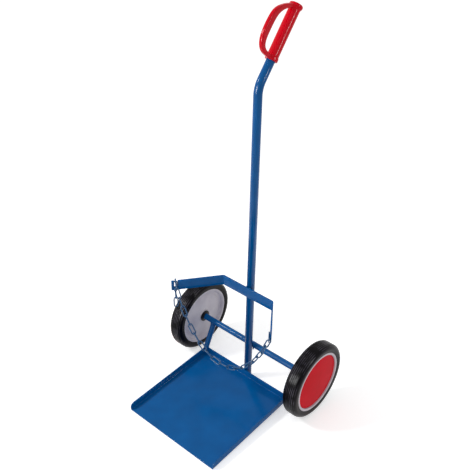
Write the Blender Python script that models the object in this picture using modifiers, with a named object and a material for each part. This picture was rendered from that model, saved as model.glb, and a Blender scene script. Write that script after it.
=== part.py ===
"""Hand truck for one gas cylinder.

A single bent column carries a closed hand grip at its top, a splayed cradle bar with a safety chain
half way down, and a flanged tray at its foot. A through axle behind the column carries two wheels
with solid tyres. Metres, +Z up: X runs along the axle, and the tray points towards -Y. The root empty
is moved at the end, so that the truck stands centred on the origin.
"""

import math

import bmesh
import bpy
from mathutils import Matrix, Vector
from mathutils.geometry import interpolate_bezier

MM = 0.001
TOUCH = 0.3 * MM  # gap left between two pieces that are welded, pressed or rest together

# Tray: folded sheet, open at the front, lying on its front edge.
TRAY_WIDTH = 350 * MM
TRAY_DEPTH = 350 * MM
TRAY_SHEET = 3 * MM
TRAY_FLANGE = 25 * MM
TRAY_REAR_LIFT = 12 * MM
TRAY_NOSE_RADIUS = 14 * MM
TRAY_FOLD_RADIUS = 4 * MM

# Column: bent steel tube.
COLUMN_RADIUS = 12.5 * MM
COLUMN_WALL = 2 * MM
COLUMN_BEND_HEIGHT = 1016 * MM
COLUMN_BEND_ANGLE = math.radians(38.2)
COLUMN_BEND_RADIUS = 65 * MM

# Hand grip: moulded sleeve with a closed knuckle guard.
GRIP_START = 76.5 * MM  # from the crossing of the column's two straight lines
GRIP_LENGTH = 160 * MM
GRIP_RADIUS = 16 * MM
GRIP_COLLAR_RADIUS = 18 * MM
GRIP_COLLAR_LENGTH = 11 * MM
GRIP_END_RADIUS = 19.5 * MM
GRIP_END_LENGTH = 10 * MM
GRIP_EDGE = 3 * MM
SOCKET_DEPTH = 118 * MM
SOCKET_FIT = 0.3 * MM
GUARD_REACH = 65.5 * MM  # grip axis to the middle of the guard bar
GUARD_THICKNESS = 11 * MM
GUARD_SWELL = 12 * MM  # how much deeper the guard grows outwards along its front
GUARD_WIDTH = 12 * MM
GUARD_EDGE = 2.5 * MM

# Cradle bar: flat bar bent in plan, welded across the front of the column.
BAR_HEIGHT = 35 * MM
BAR_THICKNESS = 5 * MM
BAR_MIDDLE_HEIGHT = 359 * MM
BAR_CENTRE_LENGTH = 195.4 * MM
BAR_SPLAY = math.radians(53.3)
BAR_BEND_RADIUS = 9 * MM
LEFT_ARM_LENGTH = 165 * MM
RIGHT_ARM_LENGTH = 137 * MM
NOTCH_WIDTH = 11.5 * MM
NOTCH_DEPTH = 23 * MM
NOTCH_POST = 8.5 * MM

# Axle and struts.
AXLE_RADIUS = 10 * MM
TRACK = 475.6 * MM  # between the wheels' middle planes
STRUT_RADIUS = 9 * MM
STRUT_INSET = 4 * MM  # from the tray's side to the strut's middle line
STRUT_SETBACK = 4.5 * MM  # from the tray's rear face to the middle of the strut's foot

# Wheels: solid rubber on a moulded rim, measured outwards from the wheel's middle plane.
WHEEL_RADIUS = 125 * MM
TYRE_WIDTH = 50 * MM
TYRE_SHOULDER = 14 * MM
RIM_RADIUS = 100 * MM
RIM_WIDTH = 46 * MM
RIM_LIP = 7.5 * MM
HUB_RADIUS = 24 * MM
HUB_INNER_END = -21.5 * MM
HUB_OUTER_END = 4 * MM
WEB_THICKNESS = 6 * MM
BUSH_FLANGE_RADIUS = 19.5 * MM
BUSH_FLANGE = 2.5 * MM
BUSH_WALL = 3.5 * MM
BUSH_LENGTH = 10 * MM
BUSH_RUNNING_GAP = 0.25 * MM
WASHER_RADIUS = 17 * MM
WASHER_THICKNESS = 2 * MM
CLIP_RADIUS = 13.5 * MM
CLIP_THICKNESS = 1.5 * MM
CLIP_OPENING = math.radians(50)
GROOVE_DEPTH = 0.8 * MM
AXLE_END_PAST_CLIP = 3 * MM
AXLE_CHAMFER = 1 * MM
CAP_SEAT = 16.5 * MM
CAP_THICKNESS = 2.5 * MM
CAP_CROWN = 2 * MM

# Safety chain: long-link chain from the notch of the left arm to the end of the right arm.
LINK_PITCH = 32 * MM
LINK_WIDTH = 16 * MM
LINK_WIRE = 4 * MM
LINK_SLACK = 0.1 * LINK_WIRE
STRAND_LINKS = 18
TAIL_LINKS = 3
STRAND_TWIST = math.radians(-50)
NOTCH_LINK_TILT = math.radians(25)
NOTCH_LINK_OFFSET = 1.5 * MM
EYE_LINK_OVERHANG = 14 * MM

TURN_STEPS = 48
PAINT_BLUE = (0.0, 0.094, 0.305)
GRIP_RED = (0.62, 0.010, 0.030)
RUBBER_BLACK = (0.010, 0.009, 0.011)
RIM_GREY = (0.56, 0.52, 0.56)
BUSH_BLACK = (0.014, 0.014, 0.015)
ZINC_GREY = (0.55, 0.56, 0.58)
CHAIN_BLUE = (0.045, 0.130, 0.250)

COLUMN_Y = COLUMN_RADIUS + TOUCH
AXLE_Y = COLUMN_Y + COLUMN_RADIUS + TOUCH + AXLE_RADIUS
BAR_Y = COLUMN_Y - COLUMN_RADIUS - TOUCH - BAR_THICKNESS / 2
TRAY_TILT = math.asin(TRAY_REAR_LIFT / TRAY_DEPTH)


def clear_scene():
    for obj in list(bpy.data.objects):
        bpy.data.objects.remove(obj, do_unlink=True)


def new_collection(name):
    collection = bpy.data.collections.new(name)
    bpy.context.scene.collection.children.link(collection)
    return collection


def new_material(name, colour, roughness, metallic=0.0):
    material = bpy.data.materials.new(name)
    material.use_nodes = True
    shader = material.node_tree.nodes["Principled BSDF"]
    shader.inputs["Base Color"].default_value = (*colour, 1.0)
    shader.inputs["Roughness"].default_value = roughness
    shader.inputs["Metallic"].default_value = metallic
    return material


def add_empty(name, location, parent=None):
    empty = bpy.data.objects.new(name, None)
    empty.location = location
    empty.parent = parent
    parts.objects.link(empty)
    return empty


def add_part(name, data, parent, material, location=(0, 0, 0), rotation=(0, 0, 0)):
    part = bpy.data.objects.new(name, data)
    part.location = location
    part.rotation_euler = rotation
    part.parent = parent
    parts.objects.link(part)
    part.data.materials.append(material)
    return part


def add_cutter(name, data):
    cutter = bpy.data.objects.new(name, data)
    cutter.hide_render = True
    cutter.display_type = "WIRE"
    cutters.objects.link(cutter)
    return cutter


def add_boolean(part, operand, operation):
    modifier = part.modifiers.new(operation.lower(), "BOOLEAN")
    modifier.operation = operation
    modifier.solver = "EXACT"
    modifier.object = operand


def smooth(mesh, angle=35):
    mesh.shade_smooth()
    mesh.set_sharp_from_angle(angle=math.radians(angle))


def mesh_from_curve(curve, name):
    """The curve's own surface as one welded mesh; the curve itself is removed."""
    carrier = bpy.data.objects.new(name + "_carrier", curve)
    bpy.context.scene.collection.objects.link(carrier)
    bpy.context.view_layer.update()
    evaluated = carrier.evaluated_get(bpy.context.evaluated_depsgraph_get())
    mesh = bpy.data.meshes.new_from_object(evaluated)
    mesh.name = name
    bpy.data.objects.remove(carrier)
    bpy.data.curves.remove(curve)
    work = bmesh.new()
    work.from_mesh(mesh)
    bmesh.ops.remove_doubles(work, verts=work.verts, dist=0.00001)
    bmesh.ops.recalc_face_normals(work, faces=work.faces)
    work.to_mesh(mesh)
    work.free()
    return mesh


def rod_curve(name, points, radius, sides, cyclic=False):
    curve = bpy.data.curves.new(name, "CURVE")
    curve.dimensions = "3D"
    curve.bevel_depth = radius
    curve.bevel_resolution = sides // 2 - 2
    curve.use_fill_caps = not cyclic
    spline = curve.splines.new("POLY")
    spline.points.add(len(points) - 1)
    for point, place in zip(spline.points, points):
        point.co = (*place, 1.0)
    spline.use_cyclic_u = cyclic
    return curve


def turned_part(name, profile, parent, material, closed=False, rotation=(0, 0, 0), steps=TURN_STEPS):
    """A profile of (radius, height) points, turned about the local Z axis."""
    mesh = bpy.data.meshes.new(name)
    work = bmesh.new()
    verts = [work.verts.new((radius, 0, height)) for radius, height in profile]
    for first, second in zip(verts, verts[1:]):
        work.edges.new((first, second))
    if closed:
        work.edges.new((verts[-1], verts[0]))
    work.to_mesh(mesh)
    work.free()
    part = add_part(name, mesh, parent, material, rotation=rotation)
    screw = part.modifiers.new("turn", "SCREW")
    screw.axis = "Z"
    screw.steps = steps
    screw.render_steps = steps
    screw.use_merge_vertices = True
    screw.merge_threshold = 0.00001
    screw.use_smooth_shade = True
    return part


def arc(centre, radius, start, end, segments):
    """Points of a circular arc in a plane; the angles are in degrees."""
    step = (end - start) / segments
    angles = [math.radians(start + step * index) for index in range(segments + 1)]
    return [(centre[0] + radius * math.cos(a), centre[1] + radius * math.sin(a)) for a in angles]


# ---------------------------------------------------------------- frame

def column_points(tube_end):
    """Centre line of the column: straight, one bend towards +Y, straight into the grip."""
    tangent = COLUMN_BEND_RADIUS * math.tan(COLUMN_BEND_ANGLE / 2)
    start = COLUMN_BEND_HEIGHT - tangent
    centre_y = COLUMN_Y + COLUMN_BEND_RADIUS
    points = [Vector((0, COLUMN_Y, TRAY_REAR_LIFT))]
    segments = 8
    for index in range(segments + 1):
        turn = COLUMN_BEND_ANGLE * index / segments
        y = centre_y - COLUMN_BEND_RADIUS * math.cos(turn)
        z = start + COLUMN_BEND_RADIUS * math.sin(turn)
        points.append(Vector((0, y, z)))
    points.append(grip_point(tube_end))
    return points


def grip_point(distance):
    """A point on the grip's axis, measured from the crossing of the column's straight lines."""
    direction = Vector((0, math.sin(COLUMN_BEND_ANGLE), math.cos(COLUMN_BEND_ANGLE)))
    return Vector((0, COLUMN_Y, COLUMN_BEND_HEIGHT)) + direction * distance


def build_column():
    sides = 24
    tube_end = GRIP_START + SOCKET_DEPTH - 2 * MM
    points = column_points(tube_end)
    mesh = mesh_from_curve(rod_curve("column_tube", points, COLUMN_RADIUS, sides), "column_tube")
    smooth(mesh)
    column = add_part("column_tube", mesh, root, paint)
    overrun = 5 * MM
    bore_points = list(points)
    bore_points[0] = points[0] - Vector((0, 0, overrun))
    bore_points[-1] = grip_point(tube_end + overrun)
    bore = rod_curve("column_bore", bore_points, COLUMN_RADIUS - COLUMN_WALL, sides)
    cutter = add_cutter("column_bore", mesh_from_curve(bore, "column_bore"))
    cutter.parent = root
    add_boolean(column, cutter, "DIFFERENCE")


def bar_path():
    """Plan of the cradle bar's middle line, from the left arm's end to the right arm's end."""
    half = BAR_CENTRE_LENGTH / 2
    tangent = BAR_BEND_RADIUS * math.tan(BAR_SPLAY / 2)
    centre_y = BAR_Y - BAR_BEND_RADIUS
    splay = math.degrees(BAR_SPLAY)
    left = arc((-half + tangent, centre_y), BAR_BEND_RADIUS, 90 + splay, 90, 5)
    right = arc((half - tangent, centre_y), BAR_BEND_RADIUS, 90, 90 - splay, 5)
    left_end = arm_point(-1, LEFT_ARM_LENGTH)
    right_end = arm_point(1, RIGHT_ARM_LENGTH)
    return [left_end.xy, *map(Vector, left), *map(Vector, right), right_end.xy]


def arm_direction(side):
    return Vector((side * math.cos(BAR_SPLAY), -math.sin(BAR_SPLAY), 0))


def arm_inward(side):
    """Unit normal of an arm's face that looks at the cylinder."""
    return Vector((-side * math.sin(BAR_SPLAY), -math.cos(BAR_SPLAY), 0))


def arm_point(side, distance):
    """A point on an arm's middle line, measured from the corner of the bend."""
    corner = Vector((side * BAR_CENTRE_LENGTH / 2, BAR_Y, BAR_MIDDLE_HEIGHT))
    return corner + arm_direction(side) * distance


def build_cradle_bar():
    mesh = bpy.data.meshes.new("cradle_bar")
    work = bmesh.new()
    low = BAR_MIDDLE_HEIGHT - BAR_HEIGHT / 2
    verts = [work.verts.new((x, y, low)) for x, y in bar_path()]
    edges = [work.edges.new(pair) for pair in zip(verts, verts[1:])]
    grown = bmesh.ops.extrude_edge_only(work, edges=edges)["geom"]
    raised = [item for item in grown if isinstance(item, bmesh.types.BMVert)]
    bmesh.ops.translate(work, verts=raised, vec=(0, 0, BAR_HEIGHT))
    work.to_mesh(mesh)
    work.free()
    bar = add_part("cradle_bar", mesh, root, paint)
    solidify = bar.modifiers.new("thickness", "SOLIDIFY")
    solidify.thickness = BAR_THICKNESS
    solidify.offset = 0
    solidify.use_even_offset = True
    add_boolean(bar, notch_cutter(), "DIFFERENCE")


def notch_cutter():
    """A block that opens the left arm's chain notch from above."""
    mesh = bpy.data.meshes.new("notch_block")
    work = bmesh.new()
    bmesh.ops.create_cube(work, size=1)
    spare = 10 * MM
    bmesh.ops.scale(work, verts=work.verts, vec=(NOTCH_WIDTH, BAR_THICKNESS + spare, NOTCH_DEPTH + spare))
    work.to_mesh(mesh)
    work.free()
    cutter = add_cutter("notch_block", mesh)
    middle = arm_point(-1, LEFT_ARM_LENGTH - NOTCH_POST - NOTCH_WIDTH / 2)
    middle.z = notch_floor() + (NOTCH_DEPTH + spare) / 2
    cutter.location = middle
    cutter.rotation_euler = (0, 0, BAR_SPLAY)
    cutter.parent = root
    return cutter


def notch_floor():
    return BAR_MIDDLE_HEIGHT + BAR_HEIGHT / 2 - NOTCH_DEPTH


def build_tray():
    """Folded sheet: a box without its top and front, whose side flanges end in a rounded nose."""
    mesh = bpy.data.meshes.new("base_tray")
    work = bmesh.new()
    bmesh.ops.create_cube(work, size=1)
    bmesh.ops.scale(work, verts=work.verts, vec=(TRAY_WIDTH, TRAY_DEPTH, TRAY_FLANGE))
    bmesh.ops.translate(work, verts=work.verts, vec=(0, TRAY_DEPTH / 2, TRAY_FLANGE / 2))
    work.faces.ensure_lookup_table()
    opened = [face for face in work.faces if face.normal.z > 0.5 or face.normal.y < -0.5]
    bmesh.ops.delete(work, geom=opened, context="FACES")
    nose = [v for v in work.verts if v.co.z > TRAY_FLANGE / 2 and v.co.y < TRAY_DEPTH / 2]
    bmesh.ops.bevel(
        work, geom=nose, offset=TRAY_NOSE_RADIUS, segments=5, profile=0.5, affect="VERTICES"
    )
    folds = [edge for edge in work.edges if len(edge.link_faces) == 2]
    bmesh.ops.bevel(work, geom=folds, offset=TRAY_FOLD_RADIUS, segments=3, profile=0.5, affect="EDGES")
    work.to_mesh(mesh)
    work.free()
    smooth(mesh)
    front = Vector((0, -TRAY_DEPTH * math.cos(TRAY_TILT), 0))
    tray = add_part("base_tray", mesh, root, paint, location=front, rotation=(TRAY_TILT, 0, 0))
    solidify = tray.modifiers.new("sheet", "SOLIDIFY")
    solidify.thickness = TRAY_SHEET
    solidify.offset = -1
    solidify.use_even_offset = True


def build_strut(name, side):
    """A round bar from under the axle to the tray's rear corner, where it stands on the flanges."""
    x = side * (TRAY_WIDTH / 2 - STRUT_INSET)
    slope = math.tan(TRAY_TILT)
    flange_top = TRAY_FLANGE / math.cos(TRAY_TILT) + TRAY_DEPTH * math.sin(TRAY_TILT) + TOUCH
    foot = Vector((x, -STRUT_SETBACK, flange_top - STRUT_SETBACK * slope))
    axle = Vector((x, AXLE_Y, WHEEL_RADIUS))
    upward = (axle - foot).normalized()
    top = axle - upward * (AXLE_RADIUS + TOUCH)
    curve = rod_curve(name, [foot, top], STRUT_RADIUS, 20)
    mesh = mesh_from_curve(curve, name)
    # The foot is sawn off level with the tops of the flanges.
    for vertex in mesh.vertices:
        if (vertex.co - foot).dot(upward) < TOUCH:
            above = vertex.co.z - flange_top - vertex.co.y * slope
            vertex.co -= upward * (above / (upward.z - upward.y * slope))
    smooth(mesh)
    add_part(name, mesh, root, paint)


def build_grip():
    """A turned sleeve over the tube's end, joined to a flat bent guard in front of it."""
    edge = GRIP_EDGE
    end_start = GRIP_LENGTH - GRIP_END_LENGTH
    profile = [(0, GRIP_LENGTH)]
    profile += arc((GRIP_END_RADIUS - edge, GRIP_LENGTH - edge), edge, 90, 0, 4)
    profile += [
        (GRIP_END_RADIUS, end_start),
        (GRIP_RADIUS, end_start - edge),
        (GRIP_RADIUS, GRIP_COLLAR_LENGTH + edge / 2),
        (GRIP_COLLAR_RADIUS, GRIP_COLLAR_LENGTH),
        (GRIP_COLLAR_RADIUS, edge / 2),
        (GRIP_COLLAR_RADIUS - edge / 2, 0),
        (COLUMN_RADIUS + SOCKET_FIT, 0),
        (COLUMN_RADIUS + SOCKET_FIT, SOCKET_DEPTH),
        (0, SOCKET_DEPTH),
    ]
    rotation = (-COLUMN_BEND_ANGLE, 0, 0)
    grip = turned_part("hand_grip", profile, root, grip_plastic, rotation=rotation, steps=32)
    grip.location = grip_point(GRIP_START)
    guard = add_cutter("knuckle_guard", guard_mesh())
    guard.parent = grip
    add_boolean(grip, guard, "UNION")


def guard_mesh():
    """The guard's flat outline, thick in the plane of the grip and rounded along its edges."""
    inside_wall = (GRIP_RADIUS + COLUMN_RADIUS) / 2
    low = GUARD_THICKNESS / 2
    high = GRIP_LENGTH - GRIP_END_LENGTH
    knots = [
        (Vector((inside_wall, low)), None, Vector((0.72 * GUARD_REACH, low))),
        (Vector((GUARD_REACH, 32 * MM)), Vector((GUARD_REACH, 15 * MM)), Vector((GUARD_REACH, 50 * MM))),
        (Vector((GUARD_REACH, 80 * MM)), Vector((GUARD_REACH, 64 * MM)), Vector((GUARD_REACH, 112 * MM))),
        (Vector((inside_wall, high)), Vector((0.62 * GUARD_REACH, high - 7 * MM)), None),
    ]
    centre = []
    for first, second in zip(knots, knots[1:]):
        centre += interpolate_bezier(first[0], first[2], second[1], second[0], 8)[:-1]
    centre.append(knots[-1][0])
    outline = guard_outline([Vector(point[:2]) for point in centre])
    curve = bpy.data.curves.new("knuckle_guard", "CURVE")
    curve.dimensions = "2D"
    curve.fill_mode = "BOTH"
    curve.extrude = GUARD_WIDTH / 2 - GUARD_EDGE
    curve.bevel_depth = GUARD_EDGE
    curve.bevel_resolution = 1
    curve.offset = -GUARD_EDGE
    spline = curve.splines.new("POLY")
    spline.points.add(len(outline) - 1)
    for point, place in zip(spline.points, outline):
        point.co = (place.x, place.y, 0, 1)
    spline.use_cyclic_u = True
    mesh = mesh_from_curve(curve, "knuckle_guard")
    forward = Matrix(((0, 0, -1, 0), (-1, 0, 0, 0), (0, 1, 0, 0), (0, 0, 0, 1)))
    mesh.transform(forward)
    return mesh


def guard_outline(centre):
    """A closed outline that runs up both sides of the guard; the outer side swells at its front."""
    inner = []
    outer = []
    for index, point in enumerate(centre):
        before = centre[max(index - 1, 0)]
        after = centre[min(index + 1, len(centre) - 1)]
        along = (after - before).normalized()
        across = Vector((-along.y, along.x))
        swell = GUARD_SWELL * math.sin(math.pi * index / (len(centre) - 1)) ** 2
        inner.append(point + across * GUARD_THICKNESS / 2)
        outer.append(point - across * (GUARD_THICKNESS / 2 + swell))
    return outer + inner[::-1]


def build_axle():
    """Round bar with a groove on both sides of each wheel for a retaining clip."""
    grooves = clip_heights()
    half = TRACK / 2
    end = half + grooves[1] + CLIP_THICKNESS / 2 + AXLE_END_PAST_CLIP
    heights = sorted([half + grooves[1], half + grooves[0], -half - grooves[0], -half - grooves[1]])
    profile = [(0, end), (AXLE_RADIUS - AXLE_CHAMFER, end), (AXLE_RADIUS, end - AXLE_CHAMFER)]
    half_groove = CLIP_THICKNESS / 2 + TOUCH
    for height in reversed(heights):
        profile += [
            (AXLE_RADIUS, height + half_groove),
            (AXLE_RADIUS - GROOVE_DEPTH, height + half_groove),
            (AXLE_RADIUS - GROOVE_DEPTH, height - half_groove),
            (AXLE_RADIUS, height - half_groove),
        ]
    profile += [(AXLE_RADIUS, AXLE_CHAMFER - end), (AXLE_RADIUS - AXLE_CHAMFER, -end), (0, -end)]
    axle = turned_part("axle", profile, root, paint, rotation=(0, math.pi / 2, 0), steps=32)
    axle.location = (0, AXLE_Y, WHEEL_RADIUS)


# ---------------------------------------------------------------- wheels

def bush_faces():
    """Heights of the bush flanges' free faces: inner side, then outer side."""
    inner = HUB_INNER_END - TOUCH - BUSH_FLANGE
    outer = HUB_OUTER_END + TOUCH + BUSH_FLANGE
    return inner, outer


def washer_middles():
    inner, outer = bush_faces()
    return inner - TOUCH - WASHER_THICKNESS / 2, outer + TOUCH + WASHER_THICKNESS / 2


def clip_heights():
    """Middle heights of the retaining clips: inner side, then outer side."""
    inner, outer = washer_middles()
    step = WASHER_THICKNESS / 2 + TOUCH + CLIP_THICKNESS / 2
    return inner - step, outer + step


def tyre_profile():
    half = TYRE_WIDTH / 2
    seat = RIM_RADIUS + TOUCH
    centre = WHEEL_RADIUS - TYRE_SHOULDER
    upper = arc((centre, half - TYRE_SHOULDER), TYRE_SHOULDER, 90, 0, 5)
    lower = arc((centre, TYRE_SHOULDER - half), TYRE_SHOULDER, 0, -90, 5)
    return [(seat, half), *upper, *lower, (seat, -half)]


def rim_profile():
    """Ring, dished web and hub in one closed section."""
    half = RIM_WIDTH / 2
    lip = RIM_RADIUS - RIM_LIP
    root_radius = lip - 4 * MM
    bore = AXLE_RADIUS + BUSH_RUNNING_GAP + BUSH_WALL + TOUCH
    web_out = -5 * MM
    web_in = web_out - WEB_THICKNESS
    dish = 6 * MM
    return [
        (RIM_RADIUS, half),
        (RIM_RADIUS, -half),
        (lip + 1.5 * MM, -half),
        (lip - 1 * MM, 3 * MM - half),
        (root_radius, web_in),
        (HUB_RADIUS + 3 * MM, web_in - dish),
        (HUB_RADIUS, web_in - dish - 1 * MM),
        (HUB_RADIUS, HUB_INNER_END),
        (bore, HUB_INNER_END),
        (bore, HUB_OUTER_END),
        (HUB_RADIUS, HUB_OUTER_END),
        (HUB_RADIUS + 3 * MM, web_out - dish),
        (root_radius, web_out),
        (root_radius, CAP_SEAT),
        (lip, CAP_SEAT),
        (lip, half),
    ]


def cap_profile():
    radius = RIM_RADIUS - RIM_LIP - TOUCH
    base = CAP_SEAT + TOUCH
    edge = 0.8 * MM
    face = base + CAP_THICKNESS
    return [
        (0, face + CAP_CROWN),
        (radius * 0.55, face + CAP_CROWN * 0.7),
        (radius - 3 * edge, face + CAP_CROWN * 0.1),
        (radius - edge, face),
        (radius, face - edge),
        (radius, base),
        (0, base),
    ]


def bush_profile(side):
    """Flanged bush, side +1 at the hub's outer end and -1 at its inner end."""
    bore = AXLE_RADIUS + BUSH_RUNNING_GAP
    sleeve = bore + BUSH_WALL
    face = HUB_OUTER_END + TOUCH if side > 0 else HUB_INNER_END - TOUCH
    tip = face - side * BUSH_LENGTH
    outer = face + side * BUSH_FLANGE
    profile = [
        (BUSH_FLANGE_RADIUS, outer),
        (BUSH_FLANGE_RADIUS, face),
        (sleeve, face),
        (sleeve, tip),
        (bore, tip),
        (bore, outer),
    ]
    return profile if side > 0 else profile[::-1]


def ring_profile(inner, outer, middle, thickness):
    half = thickness / 2
    return [(outer, middle + half), (outer, middle - half), (inner, middle - half), (inner, middle + half)]


def clip_curve(name):
    """An open ring of flat spring steel."""
    inner = AXLE_RADIUS - GROOVE_DEPTH + TOUCH
    half = math.degrees(CLIP_OPENING) / 2
    outline = arc((0, 0), CLIP_RADIUS, half, 360 - half, 20)
    outline += arc((0, 0), inner, 360 - half, half, 20)
    curve = bpy.data.curves.new(name, "CURVE")
    curve.dimensions = "2D"
    curve.fill_mode = "BOTH"
    curve.extrude = CLIP_THICKNESS / 2
    spline = curve.splines.new("POLY")
    spline.points.add(len(outline) - 1)
    for point, place in zip(spline.points, outline):
        point.co = (*place, 0, 1)
    spline.use_cyclic_u = True
    return curve


def build_wheel(side_name, side):
    """Everything on one end of the axle; the local +Z of each turned piece points outwards."""
    centre = Vector((side * TRACK / 2, AXLE_Y, WHEEL_RADIUS))
    wheel = add_empty(side_name + "_wheel_axis", centre, root)
    fixed = add_empty(side_name + "_axle_end", centre, root)
    outward = (0, side * math.pi / 2, 0)
    turned_part(side_name + "_tyre", tyre_profile(), wheel, rubber, True, outward)
    turned_part(side_name + "_rim", rim_profile(), wheel, rim_plastic, True, outward)
    turned_part(side_name + "_hub_cap", cap_profile(), wheel, cap_plastic, False, outward)
    washers = washer_middles()
    clips = clip_heights()
    for index, place in enumerate(("inner", "outer")):
        prefix = side_name + "_" + place
        facing = 2 * index - 1
        turned_part(prefix + "_bush", bush_profile(facing), wheel, bush_plastic, True, outward, 32)
        hole = AXLE_RADIUS + TOUCH
        washer = ring_profile(hole, WASHER_RADIUS, washers[index], WASHER_THICKNESS)
        turned_part(prefix + "_washer", washer, fixed, zinc, True, outward, 32)
        clip = mesh_from_curve(clip_curve(prefix + "_clip"), prefix + "_clip")
        offset = (side * clips[index], 0, 0)
        add_part(prefix + "_clip", clip, fixed, zinc, location=offset, rotation=outward)


# ---------------------------------------------------------------- chain

def link_mesh():
    """One welded long link, lying flat in the local XY plane with its length along X."""
    end_radius = (LINK_WIDTH - LINK_WIRE) / 2
    straight = (LINK_PITCH + LINK_WIRE) / 2 - end_radius
    points = arc((straight, 0), end_radius, -90, 90, 6)
    points += arc((-straight, 0), end_radius, 90, 270, 6)
    curve = rod_curve("chain_link", [(x, y, 0) for x, y in points], LINK_WIRE / 2, 8, cyclic=True)
    mesh = mesh_from_curve(curve, "chain_link")
    mesh.shade_smooth()
    return mesh


def place_link(name, mesh, parent, centre, along, normal):
    """Puts a link with its length along one direction and its flat side square to another."""
    along = along.normalized()
    normal = (normal - along * normal.dot(along)).normalized()
    across = normal.cross(along)
    axes = Matrix((along, across, normal)).transposed()
    link = bpy.data.objects.new(name, mesh)
    link.parent = parent
    link.location = centre - parent.location
    link.rotation_euler = axes.to_euler()
    parts.objects.link(link)
    return link


def sagging_points(start, end, length, count):
    """Points of a hanging line of the given length between two places, equally spaced along it."""
    level = Vector((end.x - start.x, end.y - start.y, 0))
    span = level.length
    rise = end.z - start.z
    target = math.sqrt(length * length - rise * rise)
    low, high = 0.01 * span, 10 * span
    for _ in range(80):
        scale = (low + high) / 2
        if 2 * scale * math.sinh(span / (2 * scale)) > target:
            low = scale
        else:
            high = scale
    shift = span / 2 - scale * math.atanh(rise / length)
    base = scale * math.cosh(shift / scale)
    travel = scale * math.sinh(shift / scale)
    places = []
    for index in range(count + 1):
        reach = index * length / count
        across = shift + scale * math.asinh((reach - travel) / scale)
        height = scale * math.cosh((across - shift) / scale) - base
        places.append(start + level.normalized() * across + Vector((0, 0, height)))
    return places


def strand_normal(along, plane_normal, index):
    """Neighbouring links stand square to each other, turned about the chain's own line."""
    side = along.cross(plane_normal)
    turn = STRAND_TWIST + (index % 2) * math.pi / 2
    return plane_normal * math.cos(turn) + side * math.sin(turn)


def notch_link():
    """Middle, length direction and normal of the link that lies through the notch."""
    inward = arm_inward(-1)
    lower = LINK_WIDTH / 2 + TOUCH
    along = inward * math.cos(NOTCH_LINK_TILT) - Vector((0, 0, 1)) * math.sin(NOTCH_LINK_TILT)
    to_corner = BAR_THICKNESS / 2 - NOTCH_LINK_OFFSET + lower * math.sin(NOTCH_LINK_TILT)
    climb = lower * math.cos(NOTCH_LINK_TILT) + to_corner * math.tan(NOTCH_LINK_TILT)
    middle = arm_point(-1, LEFT_ARM_LENGTH - NOTCH_POST - NOTCH_WIDTH / 2)
    middle += inward * NOTCH_LINK_OFFSET
    middle.z = notch_floor() + climb
    return middle, along, arm_direction(-1)


def eye_link():
    """Middle and directions of the link welded inside the right arm's end."""
    inward = arm_inward(1)
    reach = (LINK_PITCH / 2 + LINK_WIRE) - EYE_LINK_OVERHANG
    middle = arm_point(1, RIGHT_ARM_LENGTH - reach)
    middle += inward * (BAR_THICKNESS / 2 + TOUCH + LINK_WIRE / 2)
    middle.z = BAR_MIDDLE_HEIGHT - BAR_HEIGHT / 2 + LINK_WIDTH / 2
    return middle, arm_direction(1), inward


def pulled_place(middle, along, normal, pull):
    """Where the wire of a link's end bend is met by the next link, which pulls in a given direction."""
    bend = (LINK_WIDTH - LINK_WIRE) / 2
    centre = middle + along * ((LINK_PITCH + LINK_WIRE) / 2 - bend)
    flat_pull = (pull - normal * pull.dot(normal)).normalized()
    return centre + flat_pull * bend - pull * (LINK_WIRE / 2 + TOUCH)


def build_chain():
    mesh = link_mesh()
    mesh.materials.append(chain_steel)
    step = LINK_PITCH - LINK_SLACK
    length = step * STRAND_LINKS

    middle, along, normal = notch_link()
    place_link("chain_notch_link", mesh, root, middle, along, normal)
    eye_middle, eye_along, eye_normal = eye_link()
    place_link("chain_eye_link", mesh, root, eye_middle, eye_along, eye_normal)
    eye_leg = eye_middle - Vector((0, 0, (LINK_WIDTH - LINK_WIRE) / 2))
    eye_leg += eye_along * (LINK_PITCH + LINK_WIRE - LINK_WIDTH) / 2

    first_pull = Vector((0, 0, -1))
    last_pull = Vector((0, 0, 1))
    for _ in range(5):
        start = pulled_place(middle, along, normal, first_pull)
        end = eye_leg + last_pull * (LINK_WIRE / 2 + TOUCH)
        places = sagging_points(start, end, length, STRAND_LINKS)
        first_pull = (places[1] - places[0]).normalized()
        last_pull = (places[-1] - places[-2]).normalized()
    plane_normal = (end - start).cross(Vector((0, 0, 1))).normalized()
    pivot = add_empty("chain_swing_axis", start, root)
    for index, (first, second) in enumerate(zip(places, places[1:])):
        direction = (second - first).normalized()
        facing = strand_normal(direction, plane_normal, index)
        name = "chain_link_{:02d}".format(index + 1)
        place_link(name, mesh, pivot, (first + second) / 2, direction, facing)

    down = Vector((0, 0, -1))
    tail_start = pulled_place(middle, -along, normal, down)
    tail_pivot = add_empty("tail_swing_axis", tail_start, root)
    for index in range(TAIL_LINKS):
        centre = tail_start + down * step * (index + 0.5)
        facing = strand_normal(down, plane_normal, index)
        name = "chain_tail_link_{}".format(index + 1)
        place_link(name, mesh, tail_pivot, centre, down, facing)


def centre_on_footprint():
    """Moves the whole truck so that its box stands centred on the origin."""
    bpy.context.view_layer.update()
    graph = bpy.context.evaluated_depsgraph_get()
    corners = []
    for obj in parts.objects:
        if obj.type != "EMPTY":
            evaluated = obj.evaluated_get(graph)
            mesh = evaluated.to_mesh()
            corners += [obj.matrix_world @ vertex.co for vertex in mesh.vertices]
            evaluated.to_mesh_clear()
    for axis in (0, 1):
        values = [corner[axis] for corner in corners]
        root.location[axis] = -(min(values) + max(values)) / 2
    bpy.context.view_layer.update()


clear_scene()
parts = new_collection("hand_truck")
cutters = new_collection("cutters")
root = add_empty("hand_truck_root", (0, 0, 0))

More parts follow.
